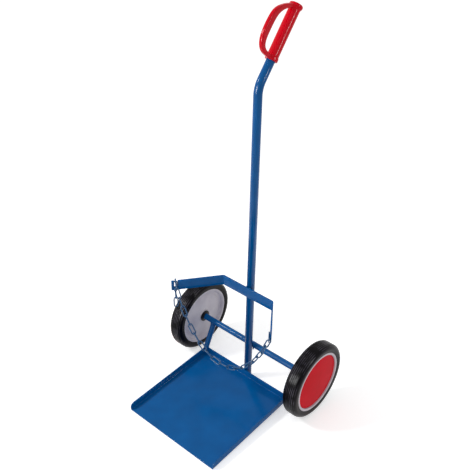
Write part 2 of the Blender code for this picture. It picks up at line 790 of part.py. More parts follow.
paint = new_material("blue_powder_coat", PAINT_BLUE, 0.32)
grip_plastic = new_material("red_grip_plastic", GRIP_RED, 0.25)
cap_plastic = new_material("red_cap_plastic", GRIP_RED, 0.35)
rubber = new_material("black_rubber", RUBBER_BLACK, 0.55)
rim_plastic = new_material("grey_rim_plastic", RIM_GREY, 0.45)
bush_plastic = new_material("black_bush_plastic", BUSH_BLACK, 0.5)
zinc = new_material("zinc_plated_steel", ZINC_GREY, 0.35, 1.0)
chain_steel = new_material("painted_chain_steel", CHAIN_BLUE, 0.35, 0.3)

build_column()
build_grip()
build_cradle_bar()
build_tray()
build_axle()
build_strut("left_strut", -1)
build_strut("right_strut", 1)
build_wheel("left", -1)
build_wheel("right", 1)
build_chain()
centre_on_footprint()
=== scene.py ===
import math

import bmesh
import bpy
import numpy as np
from mathutils import Matrix, Vector


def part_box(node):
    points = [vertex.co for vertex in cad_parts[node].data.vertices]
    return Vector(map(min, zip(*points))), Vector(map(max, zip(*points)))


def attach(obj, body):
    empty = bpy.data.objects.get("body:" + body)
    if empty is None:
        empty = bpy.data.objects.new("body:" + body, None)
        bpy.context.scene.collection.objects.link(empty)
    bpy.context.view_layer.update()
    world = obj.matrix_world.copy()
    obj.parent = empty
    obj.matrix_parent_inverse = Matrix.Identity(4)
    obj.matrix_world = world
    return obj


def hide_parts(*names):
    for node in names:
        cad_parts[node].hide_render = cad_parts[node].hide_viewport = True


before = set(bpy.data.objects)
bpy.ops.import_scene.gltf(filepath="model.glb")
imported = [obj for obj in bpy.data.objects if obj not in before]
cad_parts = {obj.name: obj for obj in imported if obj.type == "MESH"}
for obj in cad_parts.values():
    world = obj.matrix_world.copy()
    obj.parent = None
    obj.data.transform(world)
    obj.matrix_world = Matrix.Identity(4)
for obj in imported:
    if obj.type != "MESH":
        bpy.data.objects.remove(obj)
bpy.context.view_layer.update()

# ---- Foot tray ------------------------------------------------------------------------------------
# A 350 mm square of 3 mm steel sheet with three edges folded up 25 mm and the front left open, so that
# a cylinder can be rolled on. It lies on its front edge, and its rear edge stands 12 mm off the ground.

tray_low, tray_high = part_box("base_tray")
tray_back_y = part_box("column_tube")[0].y - 0.0003
tray_width = tray_high.x - tray_low.x
tray_depth = 0.350
tray_lift = 0.012
tray_flange = 0.025
tray_sheet = 0.003
nose_round = 0.014
fold_round = 0.0045
tray_tilt = math.asin(tray_lift / tray_depth)


def linear(colour):
    """A hex colour as the linear RGBA that a shader wants."""
    parts = [int(colour[i:i + 2], 16) / 255 for i in (1, 3, 5)]
    return [c / 12.92 if c <= 0.04045 else ((c + 0.055) / 1.055) ** 2.4 for c in parts] + [1.0]


def add_node(tree, kind, settings=None, links=None):
    """Adds a node; each link is a socket to join to, or a value to set."""
    node = tree.nodes.new(kind)
    for name, value in (settings or {}).items():
        setattr(node, name, value)
    for name, value in (links or {}).items():
        if isinstance(value, bpy.types.NodeSocket):
            tree.links.new(value, node.inputs[name])
        else:
            node.inputs[name].default_value = value
    return node


def new_finish(name, dark, pale, blotch, rough, gloss=0.5, skin=None, span=(0.3, 0.7)):
    """
    A material whose colour drifts between two tones, as the blotches' values cross the span. Blotch is
    a pattern's size and detail. Rough is one value, or a size, a detail, the least and the most. Skin
    is the bump's size, detail, strength and depth.
    """
    finish = bpy.data.materials.new(name)
    finish.use_nodes = True
    tree = finish.node_tree
    shader = tree.nodes["Principled BSDF"]
    place = add_node(tree, "ShaderNodeTexCoord").outputs["Object"]
    cells = {"Vector": place, "Scale": 1 / blotch[0], "Detail": blotch[1]}
    blotches = add_node(tree, "ShaderNodeTexNoise", None, cells)
    crossed = {"Value": blotches.outputs["Fac"], "From Min": span[0], "From Max": span[1]}
    drift = add_node(tree, "ShaderNodeMapRange", None, crossed)
    tones = {0: drift.outputs["Result"], 6: linear(dark), 7: linear(pale)}
    colour = add_node(tree, "ShaderNodeMix", {"data_type": "RGBA"}, tones)
    tree.links.new(colour.outputs[2], shader.inputs["Base Color"])
    if isinstance(rough, float):
        shader.inputs["Roughness"].default_value = rough
    else:
        size, detail, least, most = rough
        cells = {"Vector": place, "Scale": 1 / size, "Detail": detail}
        patchy_noise = add_node(tree, "ShaderNodeTexNoise", None, cells)
        rubbed = {"Value": patchy_noise.outputs["Fac"], "To Min": least, "To Max": most}
        dullness = add_node(tree, "ShaderNodeMapRange", None, rubbed)
        tree.links.new(dullness.outputs["Result"], shader.inputs["Roughness"])
    if skin:
        size, detail, strength, depth = skin
        cells = {"Vector": place, "Scale": 1 / size, "Detail": detail}
        relief = add_node(tree, "ShaderNodeTexNoise", None, cells)
        raised = {"Height": relief.outputs["Fac"], "Strength": strength, "Distance": depth}
        bump = add_node(tree, "ShaderNodeBump", None, raised)
        tree.links.new(bump.outputs["Normal"], shader.inputs["Normal"])
    shader.inputs["Specular IOR Level"].default_value = gloss
    return finish


# Blue polyester powder coat, sprayed on dry and baked: deep, even and glossy, with short crisp
# highlights on the bends. The coat's thickness drifts over about 60 mm, and its orange peel is 1 to
# 2 mm across.
frame_coat = new_finish(
    "blue_powder_coat", "#005290", "#005A9C", blotch=(0.060, 2), rough=(0.022, 3, 0.12, 0.24), gloss=0.14,
    skin=(0.0016, 1, 0.03, 0.0003),
)


def new_piece(name, mesh, finish):
    """A finished piece's object, with its place in its mesh."""
    mesh.name = name
    mesh.materials.clear()
    mesh.materials.append(finish)
    piece = bpy.data.objects.new(name, mesh)
    bpy.context.scene.collection.objects.link(piece)
    return piece


def fit_piece(piece, body, slot, *nodes):
    """Joins a piece to its moving body and lets it stand for its solids."""
    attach(piece, body)
    if nodes:
        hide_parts(*nodes)


def edge_smooth(mesh, degrees=35):
    mesh.shade_smooth()
    mesh.set_sharp_from_angle(angle=math.radians(degrees))


def soften(piece, width, segments=2):
    """Breaks the sharp edges, as a file and then the paint do."""
    bevel = piece.modifiers.new("broken_edges", "BEVEL")
    bevel.width = width
    bevel.segments = segments
    bevel.limit_method = "ANGLE"
    bevel.angle_limit = math.radians(40)


tray_mesh = bpy.data.meshes.new("foot_tray")
work = bmesh.new()
bmesh.ops.create_cube(work, size=1)
bmesh.ops.scale(work, verts=work.verts, vec=(tray_width, tray_depth, tray_flange))
bmesh.ops.translate(work, verts=work.verts, vec=(0, tray_depth / 2, tray_flange / 2))
open_sides = [face for face in work.faces if face.normal.z > 0.5 or face.normal.y < -0.5]
bmesh.ops.delete(work, geom=open_sides, context="FACES")
noses = [v for v in work.verts if v.co.z > tray_flange / 2 and v.co.y < tray_depth / 2]
bmesh.ops.bevel(work, geom=noses, offset=nose_round, segments=9, profile=0.5, affect="VERTICES")
folds = [edge for edge in work.edges if len(edge.link_faces) == 2]
bmesh.ops.bevel(work, geom=folds, offset=fold_round, segments=6, profile=0.5, affect="EDGES")
front_edge = Vector((0, tray_back_y - tray_depth * math.cos(tray_tilt), 0))
work.transform(Matrix.Translation(front_edge) @ Matrix.Rotation(tray_tilt, 4, "X"))
work.to_mesh(tray_mesh)
work.free()
edge_smooth(tray_mesh)
foot_tray = new_piece("foot_tray", tray_mesh, frame_coat)
sheet = foot_tray.modifiers.new("sheet", "SOLIDIFY")
sheet.thickness = tray_sheet
sheet.offset = -1
sheet.use_even_offset = True
soften(foot_tray, 0.0006)
fit_piece(foot_tray, "frame", "frame_paint", "base_tray")

# ---- Column ---------------------------------------------------------------------------------------
# One 25 mm tube with a 2 mm wall, cold bent back 38 degrees below the grip. Its open foot is welded
# behind the tray's rear flange.

column_low, column_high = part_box("column_tube")
column_radius = (column_high.x - column_low.x) / 2
column_y = column_low.y + column_radius
bend_angle = math.radians(38.2)
bend_height = 1.016
tube_wall = 0.002
bend_radius = 0.065
bend_to_grip = 0.0765
tube_in_grip = 0.116
bend_point = Vector((0, column_y, bend_height))
upper_line = Vector((0, math.sin(bend_angle), math.cos(bend_angle)))
grip_foot = bend_point + upper_line * bend_to_grip


def node_group(name, **kinds):
    """A geometry tree with the named inputs after its geometry, and its group input's sockets."""
    tree = bpy.data.node_groups.new(name, "GeometryNodeTree")
    tree.interface.new_socket("Geometry", in_out="INPUT", socket_type="NodeSocketGeometry")
    for label, kind in kinds.items():
        tree.interface.new_socket(label, in_out="INPUT", socket_type="NodeSocket" + kind)
    tree.interface.new_socket("Geometry", in_out="OUTPUT", socket_type="NodeSocketGeometry")
    return tree, tree.nodes.new("NodeGroupInput").outputs


def end_group(tree, geometry, material):
    """Every tree ends the same way: real faces with the finish on them."""
    real = add_node(tree, "GeometryNodeRealizeInstances", None, {"Geometry": geometry})
    wanted = {"Geometry": real.outputs[0], "Material": material}
    done = add_node(tree, "GeometryNodeSetMaterial", None, wanted)
    out = tree.nodes.new("NodeGroupOutput")
    tree.links.new(done.outputs[0], out.inputs[0])


def run_tree(name, tree, seed, finish, **values):
    """Runs a geometry tree on a mesh, and gives back the plain mesh that comes out."""
    carrier = bpy.data.objects.new(name + "_carrier", seed)
    bpy.context.scene.collection.objects.link(carrier)
    modifier = carrier.modifiers.new("shape", "NODES")
    modifier.node_group = tree
    values["Material"] = finish
    for item in tree.interface.items_tree:
        if item.in_out == "INPUT" and item.name in values:
            modifier[item.identifier] = values[item.name]
    bpy.context.view_layer.update()
    shaped = carrier.evaluated_get(bpy.context.evaluated_depsgraph_get())
    mesh = bpy.data.meshes.new_from_object(shaped)
    bpy.data.objects.remove(carrier)
    bpy.data.meshes.remove(seed)
    return mesh


def line_mesh(*lines):
    """Open or closed lines of points as a mesh of edges; a closed one ends on its first point."""
    points = []
    edges = []
    for line in lines:
        first = len(points)
        closed = (Vector(line[0]) - Vector(line[-1])).length < 1e-7
        kept = line[:-1] if closed else line
        points += [tuple(point) for point in kept]
        edges += [(first + i, first + i + 1) for i in range(len(kept) - 1)]
        if closed:
            edges.append((first + len(kept) - 1, first))
    mesh = bpy.data.meshes.new("path")
    mesh.from_pydata(points, edges, [])
    return mesh


# A round bar or tube that follows a path and takes a radius where the path turns.
bar_tree, bar_in = node_group(
    "Round bar along a path",
    Radius="Float", BendRadius="Float", Sides="Int", Ends="Bool", Material="Material",
)
bar_path = add_node(bar_tree, "GeometryNodeMeshToCurve", None, {"Mesh": bar_in["Geometry"]})
bar_bend = add_node(
    bar_tree, "GeometryNodeFilletCurve", {"mode": "POLY"},
    {"Curve": bar_path.outputs[0], "Count": 14, "Radius": bar_in["BendRadius"]},
)
bar_round = add_node(
    bar_tree, "GeometryNodeCurvePrimitiveCircle", None,
    {"Resolution": bar_in["Sides"], "Radius": bar_in["Radius"]},
)
bar_skin = add_node(
    bar_tree, "GeometryNodeCurveToMesh", None,
    {"Curve": bar_bend.outputs[0], "Profile Curve": bar_round.outputs[0], "Fill Caps": bar_in["Ends"]},
)
end_group(bar_tree, bar_skin.outputs[0], bar_in["Material"])


def round_bar(name, line, radius, finish, bend=0.001, sides=48, ends=True):
    mesh = run_tree(
        name, bar_tree, line_mesh(line), finish, Radius=radius, BendRadius=bend, Sides=sides, Ends=ends
    )
    edge_smooth(mesh)
    return mesh


column_line = [(0, column_y, column_low.z), bend_point, grip_foot + upper_line * tube_in_grip]
column_mesh = round_bar(
    "column", column_line, column_radius, frame_coat, bend=bend_radius, sides=64, ends=False
)
column = new_piece("column", column_mesh, frame_coat)
wall = column.modifiers.new("wall", "SOLIDIFY")
wall.thickness = tube_wall
wall.offset = -1
fit_piece(column, "frame", "frame_paint", "column_tube")

# ---- Cradle bar -----------------------------------------------------------------------------------
# A 35 by 5 mm flat bar, bent at two places so that its arms open towards the cylinder, and welded
# across the column. The longer arm has an open notch that the chain drops into.

bar_low, bar_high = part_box("cradle_bar")
bar_middle_z = (bar_low.z + bar_high.z) / 2
bar_thickness = 0.005
bar_y = bar_high.y - bar_thickness / 2
arm_splay = math.radians(53.3)
arm_corner = 0.0977
left_arm, right_arm = 0.165, 0.137
notch_width, notch_depth, notch_post = 0.0115, 0.023, 0.0085


def arm_point(side, distance, z=bar_middle_z):
    """A point on an arm's middle line, measured from its corner; side is -1 for the notched arm."""
    x = side * (arm_corner + distance * math.cos(arm_splay))
    return Vector((x, bar_y - distance * math.sin(arm_splay), z))


def arm_inward(side):
    """The level direction that an arm's inner face looks along."""
    return Vector((-side * math.sin(arm_splay), -math.cos(arm_splay), 0))


arm_bend = 0.009
tangent = arm_bend * math.tan(arm_splay / 2)
bar_plan = [arm_point(-1, s) for s in (
    left_arm, left_arm - notch_post, left_arm - notch_post - notch_width,
)]
for side in (-1, 1):
    steps = [arm_splay * i / 12 for i in range(13)]
    turns = reversed(steps) if side < 0 else steps
    for turn in turns:
        x = side * (arm_corner - tangent + arm_bend * math.sin(turn))
        bar_plan.append(Vector((x, bar_y - arm_bend * (1 - math.cos(turn)), 0)))
bar_plan.append(arm_point(1, right_arm))
levels = [bar_low.z, bar_high.z - notch_depth, bar_high.z]
bar_mesh = bpy.data.meshes.new("cradle_bar")
work = bmesh.new()
grid = [[work.verts.new((point.x, point.y, z)) for z in levels] for point in bar_plan]
for i, (near, far) in enumerate(zip(grid, grid[1:])):
    for j in range(2):
        if not (i == 1 and j == 1):
            work.faces.new((near[j], far[j], far[j + 1], near[j + 1]))
work.to_mesh(bar_mesh)
work.free()
edge_smooth(bar_mesh)
cradle_bar = new_piece("cradle_flat_bar", bar_mesh, frame_coat)
plate = cradle_bar.modifiers.new("plate", "SOLIDIFY")
plate.thickness = bar_thickness
plate.offset = 0
plate.use_even_offset = True
soften(cradle_bar, 0.0009)
fit_piece(cradle_bar, "frame", "frame_paint", "cradle_bar")

# ---- Axle and struts ------------------------------------------------------------------------------
# A 20 mm round bar runs behind the column from wheel to wheel. Two 18 mm struts are welded under it
# and stand on the tray's rear corners, so that the tray can't fold back.

axle_low, axle_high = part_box("axle")
axle_y = (axle_low.y + axle_high.y) / 2
axle_z = (axle_low.z + axle_high.z) / 2
axle_radius = (axle_high.z - axle_low.z) / 2
half_tyre_width = 0.025
wheel_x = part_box("right_tyre")[1].x - half_tyre_width


def turned(name, profile, centre, side, steps=96, closed=True):
    """Turns a section of (radius, height) points about the axle's line; height runs outwards."""
    verts = []
    faces = []
    count = len(profile)
    for i in range(steps):
        angle = 2 * math.pi * i / steps
        for radius, height in profile:
            y = centre.y + radius * math.cos(angle)
            z = centre.z + radius * math.sin(angle)
            verts.append((centre.x + side * height, y, z))
    rows = count if closed else count - 1
    for i in range(steps):
        for j in range(rows):
            a = i * count + j
            b = i * count + (j + 1) % count
            c = ((i + 1) % steps) * count + (j + 1) % count
            d = ((i + 1) % steps) * count + j
            faces.append((a, b, c, d))
    mesh = bpy.data.meshes.new(name)
    mesh.from_pydata(verts, [], faces)
    work = bmesh.new()
    work.from_mesh(mesh)
    bmesh.ops.remove_doubles(work, verts=work.verts, dist=0.000005)
    bmesh.ops.recalc_face_normals(work, faces=work.faces)
    work.to_mesh(mesh)
    work.free()
    edge_smooth(mesh)
    return mesh


chamfer = 0.001
axle_half = axle_high.x
axle_section = [
    (0, axle_half), (axle_radius - chamfer, axle_half), (axle_radius, axle_half - chamfer),
    (axle_radius, chamfer - axle_half), (axle_radius - chamfer, -axle_half), (0, -axle_half),
]
axle_centre = Vector((0, axle_y, axle_z))
axle_mesh = turned("axle_bar", axle_section, axle_centre, 1, steps=48, closed=False)
axle_bar = new_piece("axle_bar", axle_mesh, frame_coat)
fit_piece(axle_bar, "frame", "frame_paint", "axle")

strut_radius = 0.009
strut_inset, strut_setback, paint_gap = 0.004, 0.0045, 0.0001
strut_x = tray_width / 2 - strut_inset
strut_feet = {}
for side, word in ((-1, "left"), (1, "right")):
    node = word + "_strut"
    foot = Vector((side * strut_x, tray_back_y - strut_setback, tray_high.z + paint_gap))
    top = Vector((side * strut_x, axle_y, axle_z))
    strut_feet[side] = foot, top
    strut_mesh = round_bar(word + "_stay", [foot, top], strut_radius, frame_coat, sides=40)
    # The foot is sawn off level with the tops of the flanges.
    upward = (top - foot).normalized()
    for vertex in strut_mesh.vertices:
        if (vertex.co - foot).dot(upward) < 0.001:
            vertex.co -= upward * ((vertex.co.z - foot.z) / upward.z)
    stay = new_piece(word + "_stay", strut_mesh, frame_coat)
    fit_piece(stay, "frame", "frame_paint", node)

# ---- Weld beads -----------------------------------------------------------------------------------
# Short gas-shielded welds join the frame, and the coat goes over them. Each bead is a row of small
# overlapping ripples, one for each pulse of the arc, about 2 mm apart.

bead_tree, bead_in = node_group(
    "Weld bead along a path", Ripple="Float", Spacing="Float", Material="Material"
)
bead_path = add_node(bead_tree, "GeometryNodeMeshToCurve", None, {"Mesh": bead_in["Geometry"]})
bead_spots = add_node(
    bead_tree, "GeometryNodeCurveToPoints", {"mode": "LENGTH"},
    {"Curve": bead_path.outputs[0], "Length": bead_in["Spacing"]},
)
ripple = add_node(
    bead_tree, "GeometryNodeMeshIcoSphere", None, {"Radius": bead_in["Ripple"], "Subdivisions": 2}
)
ripple_row = add_node(
    bead_tree, "GeometryNodeInstanceOnPoints", None,
    {
        "Points": bead_spots.outputs["Points"], "Instance": ripple.outputs["Mesh"],
        "Rotation": bead_spots.outputs["Rotation"], "Scale": (1.0, 1.0, 0.8),
    },
)
end_group(bead_tree, ripple_row.outputs[0], bead_in["Material"])


def ring_line(centre, axis, radius, start=0, end=360, points=24):
    """Points round part of a circle about an axis; a full turn ends where it starts."""
    axis = axis.normalized()
    first = axis.cross(Vector((0, 1, 0)))
    if first.length < 0.1:
        first = axis.cross(Vector((1, 0, 0)))
    first.normalize()
    second = axis.cross(first)
    angles = [math.radians(start + (end - start) * i / points) for i in range(points + 1)]
    return [centre + (first * math.cos(a) + second * math.sin(a)) * radius for a in angles]


bead_lines = []
for side in (-1, 1):
    # Bar to column, up both sides behind the bar.
    x, y = side * 0.0068, tray_back_y + 0.0016
    bead_lines.append([(x, y, bar_low.z + 0.002), (x, y, bar_high.z)])
    # Axle to column, along the two hollows between the crossing bars.
    x, y = side * 0.010, axle_y - 0.0105
    bead_lines.append([(x, y, axle_z - 0.009), (x, y, axle_z + 0.009)])
    # Strut to axle, round the strut, and strut to flanges, inside the tray's corner.
    foot, top = strut_feet[side]
    upward = (top - foot).normalized()
    bead_lines.append(ring_line(top - upward * (axle_radius + 0.0008), upward, strut_radius - 0.0006))
    inner_x = side * (tray_width / 2 - tray_sheet)
    inner_y, back_y = tray_back_y - tray_sheet - 0.001, tray_back_y - 0.001
    bead_lines.append([(inner_x, foot.y - 0.008, foot.z), (inner_x, inner_y, foot.z)])
    bead_lines.append([(foot.x - side * 0.008, back_y, foot.z), (inner_x, back_y, foot.z)])
    # Tray corner seam, closed outside where the two flanges meet.
    lean = math.sin(tray_tilt)
    x = side * (tray_width / 2 - 0.0018)
    seam_low = Vector((x, tray_back_y - 0.0020, tray_lift + 0.004))
    bead_lines.append([seam_low, seam_low + Vector((0, -lean * 0.019, 0.019))])
    # Column to tray, up both sides of the tube.
    x, y = side * 0.0078, column_low.y
    bead_lines.append([(x, y + 0.0016, tray_lift + 0.002), (x, y + 0.0012, tray_high.z - 0.001)])
# Along the top of the flange beside the column.
y = tray_back_y - 0.0016
bead_lines.append([(-0.022, y, tray_high.z), (-0.002, y, tray_high.z)])
# The end link of the chain, along the bar's inner face.
eye_low, eye_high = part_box("chain_eye_link")
eye_face = arm_inward(1) * (bar_thickness / 2 + 0.001)
for z in (eye_low.z + 0.0042, eye_high.z - 0.0042):
    eye_weld = [arm_point(1, right_arm - d, z) + eye_face for d in (0.015, 0.003)]
    bead_lines.append(eye_weld)
bead_mesh = run_tree(
    "weld_beads", bead_tree, line_mesh(*bead_lines), frame_coat, Ripple=0.0021, Spacing=0.0019
)
edge_smooth(bead_mesh, 60)
weld_beads = new_piece("weld_beads", bead_mesh, frame_coat)
fit_piece(weld_beads, "frame", "frame_paint")

# ---- Hand grip ------------------------------------------------------------------------------------
# One soft, glossy red moulding pushed over the tube's end: a sleeve with a collar at its mouth, a
# closed head, and a guard for the knuckles that leaves and rejoins it in smooth curves.

forward = Vector((0, -math.cos(bend_angle), math.sin(bend_angle)))
sleeve_radius = 0.016
grip_length = 0.160
sleeve_sides = 48

# Dip-soft PVC, moulded: saturated red, a wet gloss broken by a slight waviness from the mould.
grip_finish = new_finish(
    "moulded_red_pvc", "#CC0018", "#D8001E", blotch=(0.050, 2), rough=0.18, gloss=0.10,
    skin=(0.004, 2, 0.05, 0.0004),
)


def on_grip(along, reach, x=0.0):
    """A place beside the grip: along its axis, out towards the knuckles, and sideways."""
    return grip_foot + upper_line * along + forward * reach + Vector((x, 0, 0))


sleeve_section = [
    (0.0, 0.0), (0.0165, 0.0), (0.0180, 0.0015), (0.0180, 0.0100), (0.0165, 0.0125), (sleeve_radius, 0.0140),
    (sleeve_radius, 0.1440), (0.0172, 0.1475), (0.0190, 0.1500), (0.0196, 0.1530), (0.0190, 0.1572),
    (0.0165, 0.1592), (0.0, grip_length),
]
work = bmesh.new()
rings = []
for radius, along in sleeve_section:
    if radius == 0:
        rings.append([work.verts.new(on_grip(along, 0))])
        continue
    ring = []
    for i in range(sleeve_sides):
        t = 2 * math.pi * i / sleeve_sides
        ring.append(work.verts.new(on_grip(along, radius * math.cos(t), radius * math.sin(t))))
    rings.append(ring)
for low, high in zip(rings, rings[1:]):
    for i in range(sleeve_sides):
        j = (i + 1) % sleeve_sides
        if len(low) == 1:
            work.faces.new((low[0], high[j], high[i]))
        elif len(high) == 1:
            work.faces.new((low[i], low[j], high[0]))
        else:
            work.faces.new((low[i], low[j], high[j], high[i]))

# The guard's line as (along, reach, how much deeper it grows outwards there), and half its section.
guard_line = [
    (0.0060, 0.0040, 0), (0.0062, 0.0260, 0.0003), (0.0078, 0.0440, 0.0016), (0.0140, 0.0560, 0.0034),
    (0.0240, 0.0625, 0.0068), (0.0370, 0.0655, 0.0100), (0.0560, 0.0660, 0.0120), (0.0800, 0.0655, 0.0120),
    (0.1000, 0.0628, 0.0110), (0.1135, 0.0572, 0.0072), (0.1250, 0.0490, 0.0031), (0.1345, 0.0385, 0.0015),
    (0.1430, 0.0255, 0.0006), (0.1500, 0.0120, 0), (0.1520, 0.0020, 0),
]
guard_half_width, guard_half_depth = 0.0060, 0.0056
squareness = 6
guard_points = [Vector(p) for p in guard_line]
for _ in range(2):
    rounder = [guard_points[0]]
    for here, after in zip(guard_points, guard_points[1:]):
        rounder += [here * 0.75 + after * 0.25, here * 0.25 + after * 0.75]
    guard_points = rounder + [guard_points[-1]]
section = []
for turn in range(24):
    t = 2 * math.pi * turn / 24
    squared = (abs(math.cos(t)) ** squareness + abs(math.sin(t)) ** squareness) ** (-1 / squareness)
    section.append((guard_half_width * squared * math.cos(t), guard_half_depth * squared * math.sin(t)))
hoops = []
for i, point in enumerate(guard_points):
    step = guard_points[min(i + 1, len(guard_points) - 1)] - guard_points[max(i - 1, 0)]
    out = Vector((-step.y, step.x)).normalized()
    deeper = point.z
    hoop = []
    for x, up in section:
        spot = point.xy + out * (up * (1 + deeper / (2 * guard_half_depth)) + deeper / 2)
        hoop.append(work.verts.new(on_grip(spot.x, spot.y, x)))
    hoops.append(hoop)
for near, far in zip(hoops, hoops[1:]):
    for i in range(24):
        j = (i + 1) % 24
        work.faces.new((near[i], near[j], far[j], far[i]))
work.faces.new(hoops[0])
work.faces.new(hoops[-1])
bmesh.ops.recalc_face_normals(work, faces=work.faces)
grip_mesh = bpy.data.meshes.new("hand_grip")
work.to_mesh(grip_mesh)
work.free()
# The sleeve and the guard are grown together, and the joint is eased as the mould's fillets are.
grip_blank = bpy.data.objects.new("grip_blank", grip_mesh)
bpy.context.scene.collection.objects.link(grip_blank)
fuse = grip_blank.modifiers.new("fuse", "REMESH")
fuse.mode = "VOXEL"
fuse.voxel_size = 0.0011
ease = grip_blank.modifiers.new("ease", "SMOOTH")
ease.factor = 0.5
ease.iterations = 7
bpy.context.view_layer.update()
shaped = grip_blank.evaluated_get(bpy.context.evaluated_depsgraph_get())
fused_mesh = bpy.data.meshes.new_from_object(shaped)
bpy.data.objects.remove(grip_blank)
fused_mesh.shade_smooth()
red_grip = new_piece("red_grip", fused_mesh, grip_finish)
fit_piece(red_grip, "frame", "grip_plastic", "hand_grip")

# ---- Tyres ----------------------------------------------------------------------------------------
# Solid black rubber, 250 mm across and 50 mm wide, moulded with round shoulders and a band of fine
# grooves that run all the way round the tread.

tyre_radius = 0.125
rim_radius = 0.100
shoulder = 0.014
# The real grooves are about 4 mm apart. They are drawn at 6 mm, so that they show.
groove_pitch = 0.006

# Vulcanised rubber: nearly black, with a dull sheen and a dusty bloom in places. The mould's skin is
# about 0.5 mm across and is drawn at 1.2 mm, so that it shows.
rubber = new_finish(
    "moulded_black_rubber", "#050308", "#0B080F", blotch=(0.030, 4), rough=(0.018, 3, 0.16, 0.30), gloss=0.09,
    skin=(0.0012, 2, 0.05, 0.0003), span=(0.35, 0.75),
)

# A painted highlight: the crests between the grooves are painted paler grey, in patches about 30 mm long
# round the tread, as streaks of sheen along the ribs.
painted_sheen_start = 0.1205
rubber_tree = rubber.node_tree
rubber_base = rubber_tree.nodes["Principled BSDF"].inputs["Base Color"]
bloom = rubber_base.links[0].from_socket
rubber_place = add_node(rubber_tree, "ShaderNodeTexCoord").outputs["Object"]
lie = add_node(rubber_tree, "ShaderNodeSeparateXYZ", None, {0: rubber_place}).outputs
either_side = add_node(rubber_tree, "ShaderNodeMath", {"operation": "ABSOLUTE"}, {0: lie["X"]})
from_middle = add_node(
    rubber_tree, "ShaderNodeMath", {"operation": "SUBTRACT"}, {0: either_side.outputs[0], 1: wheel_x}
)
rib_turn = add_node(
    rubber_tree, "ShaderNodeMath", {"operation": "MULTIPLY"},
    {0: from_middle.outputs[0], 1: 2 * math.pi / groove_pitch},
)
ridge = add_node(rubber_tree, "ShaderNodeMath", {"operation": "COSINE"}, {0: rib_turn.outputs[0]})
rib_top = add_node(
    rubber_tree, "ShaderNodeMapRange", None, {"Value": ridge.outputs[0], "From Min": 0.0, "From Max": -0.8}
)
flat_lie = add_node(rubber_tree, "ShaderNodeCombineXYZ", None, {"Y": lie["Y"], "Z": lie["Z"]})
from_axle = add_node(
    rubber_tree, "ShaderNodeVectorMath", {"operation": "DISTANCE"},
    {0: flat_lie.outputs[0], 1: (0, axle_y, axle_z)},
)
on_tread = add_node(
    rubber_tree, "ShaderNodeMath", {"operation": "GREATER_THAN"},
    {0: from_axle.outputs["Value"], 1: painted_sheen_start},
)
patchy_noise = {"Vector": rubber_place, "Scale": 1 / 0.030, "Detail": 3}
sheen_patch_noise = add_node(rubber_tree, "ShaderNodeTexNoise", None, patchy_noise)
patches = add_node(
    rubber_tree, "ShaderNodeMapRange", None,
    {"Value": sheen_patch_noise.outputs["Fac"], "From Min": 0.42, "From Max": 0.66, "To Max": 0.55},
)
painted_sheen_ribs = add_node(
    rubber_tree, "ShaderNodeMath", {"operation": "MULTIPLY"}, {0: rib_top.outputs[0], 1: on_tread.outputs[0]}
)
painted_sheen_amount = add_node(
    rubber_tree, "ShaderNodeMath", {"operation": "MULTIPLY"},
    {0: painted_sheen_ribs.outputs[0], 1: patches.outputs[0]},
)
# The grey mixed in here is a painted highlight on the crests.
painted_sheen_tone = add_node(
    rubber_tree, "ShaderNodeMix", {"data_type": "RGBA"},
    {0: painted_sheen_amount.outputs[0], 6: bloom, 7: linear("#6A6672")},
)
rubber_tree.links.new(painted_sheen_tone.outputs[2], rubber_base)

# Grooves: each point of the tread sinks towards the axle by a wave across the tyre's width.
tread_tree, tread_in = node_group(
    "Tread grooves",
    Centre="Vector", Pitch="Float", Depth="Float", HalfBand="Float", Floor="Float", Material="Material",
)
here = add_node(tread_tree, "GeometryNodeInputPosition")
arm = add_node(
    tread_tree, "ShaderNodeVectorMath", {"operation": "SUBTRACT"}, {0: here.outputs[0], 1: tread_in["Centre"]}
)
split = add_node(tread_tree, "ShaderNodeSeparateXYZ", None, {0: arm.outputs[0]})
radial = add_node(
    tread_tree, "ShaderNodeCombineXYZ", None, {"Y": split.outputs["Y"], "Z": split.outputs["Z"]}
)
distance = add_node(
    tread_tree, "ShaderNodeVectorMath", {"operation": "LENGTH"}, {0: radial.outputs[0]}
)
outward = add_node(
    tread_tree, "ShaderNodeVectorMath", {"operation": "NORMALIZE"}, {0: radial.outputs[0]}
)
pitches = add_node(
    tread_tree, "ShaderNodeMath", {"operation": "DIVIDE"}, {0: split.outputs["X"], 1: tread_in["Pitch"]}
)
wave = add_node(
    tread_tree, "ShaderNodeMath", {"operation": "MULTIPLY"}, {0: pitches.outputs[0], 1: 2 * math.pi}
)
swing = add_node(tread_tree, "ShaderNodeMath", {"operation": "COSINE"}, {0: wave.outputs[0]})
groove = add_node(
    tread_tree, "ShaderNodeMapRange", None,
    {"Value": swing.outputs[0], "From Min": 0.35, "From Max": 0.35 + 1 / 2.2},
)
side_reach = add_node(tread_tree, "ShaderNodeMath", {"operation": "ABSOLUTE"}, {0: split.outputs["X"]})
inside_band = add_node(
    tread_tree, "ShaderNodeMath", {"operation": "SUBTRACT"},
    {0: tread_in["HalfBand"], 1: side_reach.outputs[0]},
)
